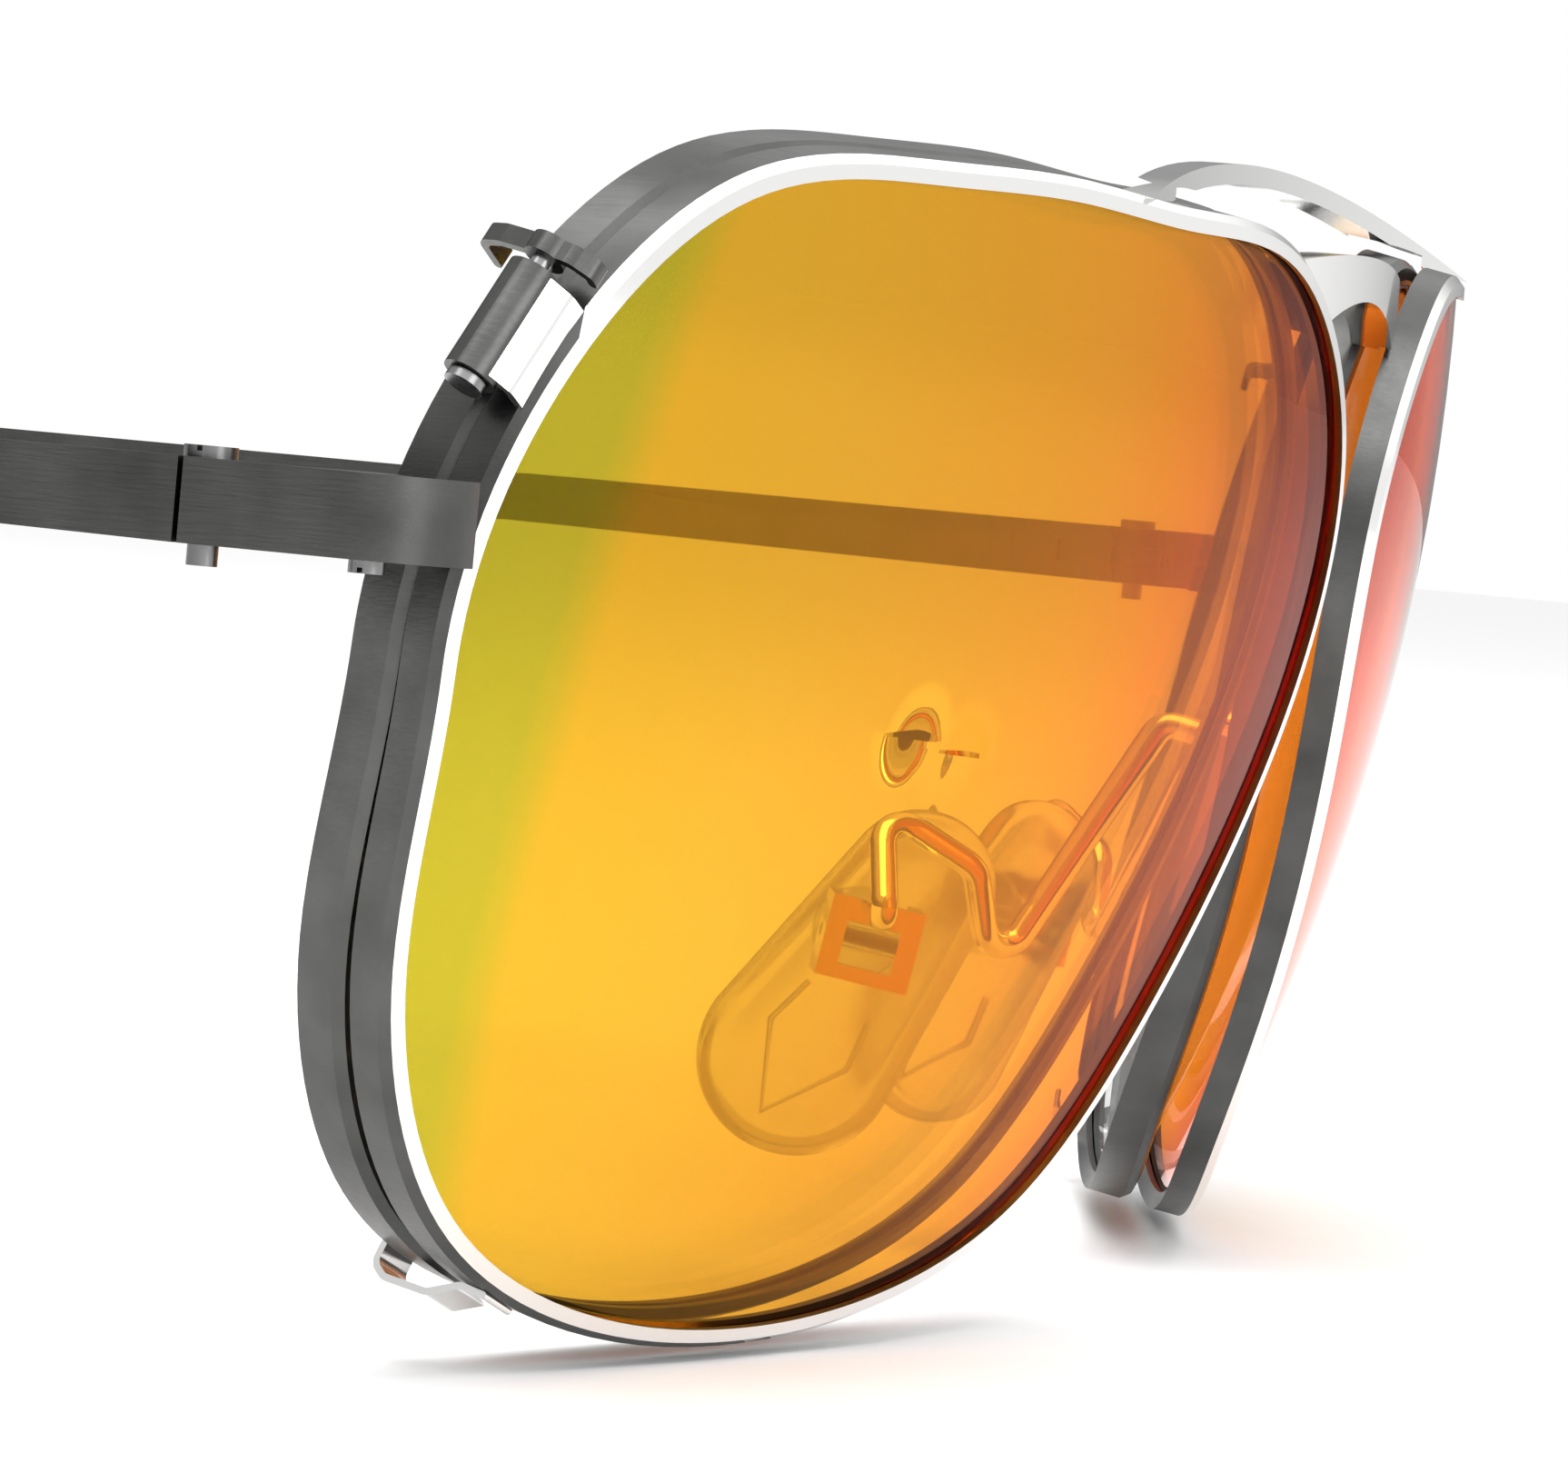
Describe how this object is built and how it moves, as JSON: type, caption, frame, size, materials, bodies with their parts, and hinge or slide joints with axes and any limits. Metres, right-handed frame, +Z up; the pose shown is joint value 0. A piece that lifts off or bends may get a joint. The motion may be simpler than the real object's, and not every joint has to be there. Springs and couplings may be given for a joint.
{
  "type": "spectacles with clip-on mirror lenses",
  "caption": "Metal spectacles with a detachable mirror lens clip held by sprung claws and bottom hooks, with folding temples and rocking nose pads.",
  "frame": {"origin": "nose seat, midway between the two nose pads", "axes": "+X to the wearer's left, +Y rearwards along the temples, +Z up"},
  "size_m": [0.1322, 0.1634, 0.0486],
  "materials": {
    "gunmetal": "brushed",
    "polished_steel": "polished",
    "screw_steel": "satin",
    "mirror_plastic": "mirror coated",
    "clear_plastic": "clear",
    "silicone": "clear satin",
    "tip_plastic": "satin"
  },
  "bodies": {
    "spectacle_frame": {"main_rim_right": "gunmetal", "main_rim_left": "gunmetal", "clear_lens_right": "clear_plastic", "clear_lens_left": "clear_plastic", "nose_bridge": "polished_steel", "end_piece_right": "gunmetal", "end_piece_left": "gunmetal", "rim_joint_right": "gunmetal", "rim_joint_left": "gunmetal", "rim_screw_right": "screw_steel", "rim_screw_left": "screw_steel", "front_hinge_leaf_right": "gunmetal", "front_hinge_leaf_left": "gunmetal", "pad_arm_right": "polished_steel", "pad_arm_left": "polished_steel", "pad_clamp_right": "polished_steel", "pad_clamp_left": "polished_steel", "pad_pin_right": "screw_steel", "pad_pin_left": "screw_steel"},
    "clip_on": {"clip_rim_right": "gunmetal", "clip_rim_left": "gunmetal", "mirror_lens_right": "mirror_plastic", "mirror_lens_left": "mirror_plastic", "brow_bar": "polished_steel", "claw_bracket_right": "polished_steel", "claw_bracket_left": "polished_steel", "claw_barrel_right": "gunmetal", "claw_barrel_left": "gunmetal", "bottom_hook_right": "polished_steel", "bottom_hook_left": "polished_steel"},
    "temple_arm_right": {"temple_right": "gunmetal", "temple_tip_right": "tip_plastic", "temple_rib_right": "gunmetal", "rear_hinge_leaf_right": "gunmetal", "hinge_screw_right": "screw_steel"},
    "soft_pad_right": {"nose_pad_right": "silicone", "pad_insert_right": "silicone"},
    "rocker_right": {"claw_right": "gunmetal", "claw_pin_right": "screw_steel"},
    "temple_arm_left": {"temple_left": "gunmetal", "temple_tip_left": "tip_plastic", "temple_rib_left": "gunmetal", "rear_hinge_leaf_left": "gunmetal", "hinge_screw_left": "screw_steel"},
    "soft_pad_left": {"nose_pad_left": "silicone", "pad_insert_left": "silicone"},
    "rocker_left": {"claw_left": "gunmetal", "claw_pin_left": "screw_steel"}
  },
  "joints": [
    {"name": "temple_fold_right", "type": "hinge", "parent": "spectacle_frame", "child": "temple_arm_right", "pos_m": [-0.0635, 0.0077, 0.01784], "axis": [0, 0, -1], "range_deg": [0, 88]},
    {"name": "temple_fold_left", "type": "hinge", "parent": "spectacle_frame", "child": "temple_arm_left", "pos_m": [0.0635, 0.0077, 0.01784], "axis": [0, 0, 1], "range_deg": [0, 78]},
    {"name": "pad_rock_right", "type": "hinge", "parent": "spectacle_frame", "child": "soft_pad_right", "pos_m": [-0.0123, -0.0013, 0.0019], "axis": [-0.4226, 0.8925, 0.1574], "range_deg": [-2, 8]},
    {"name": "pad_rock_left", "type": "hinge", "parent": "spectacle_frame", "child": "soft_pad_left", "pos_m": [0.0123, -0.0013, 0.0019], "axis": [-0.4226, -0.8925, -0.1574], "range_deg": [-2, 8]},
    {"name": "clip_lift", "type": "hinge", "parent": "spectacle_frame", "child": "clip_on", "pos_m": [0, 0.00441, -0.00996], "axis": [1, 0, 0], "range_deg": [0, 2.1]},
    {"name": "claw_open_right", "type": "hinge", "parent": "clip_on", "child": "rocker_right", "pos_m": [-0.05918, -0.00091, 0.02483], "axis": [0.4424, -0.3019, 0.8445], "range_deg": [0, 11]},
    {"name": "claw_open_left", "type": "hinge", "parent": "clip_on", "child": "rocker_left", "pos_m": [0.05918, -0.00091, 0.02483], "axis": [0.4424, 0.3019, -0.8445], "range_deg": [0, 11]}
  ],
  "couplings": [
    {"joint": "claw_open_right", "follows": "clip_lift", "ratio": 5},
    {"joint": "claw_open_left", "follows": "clip_lift", "ratio": 5}
  ]
}
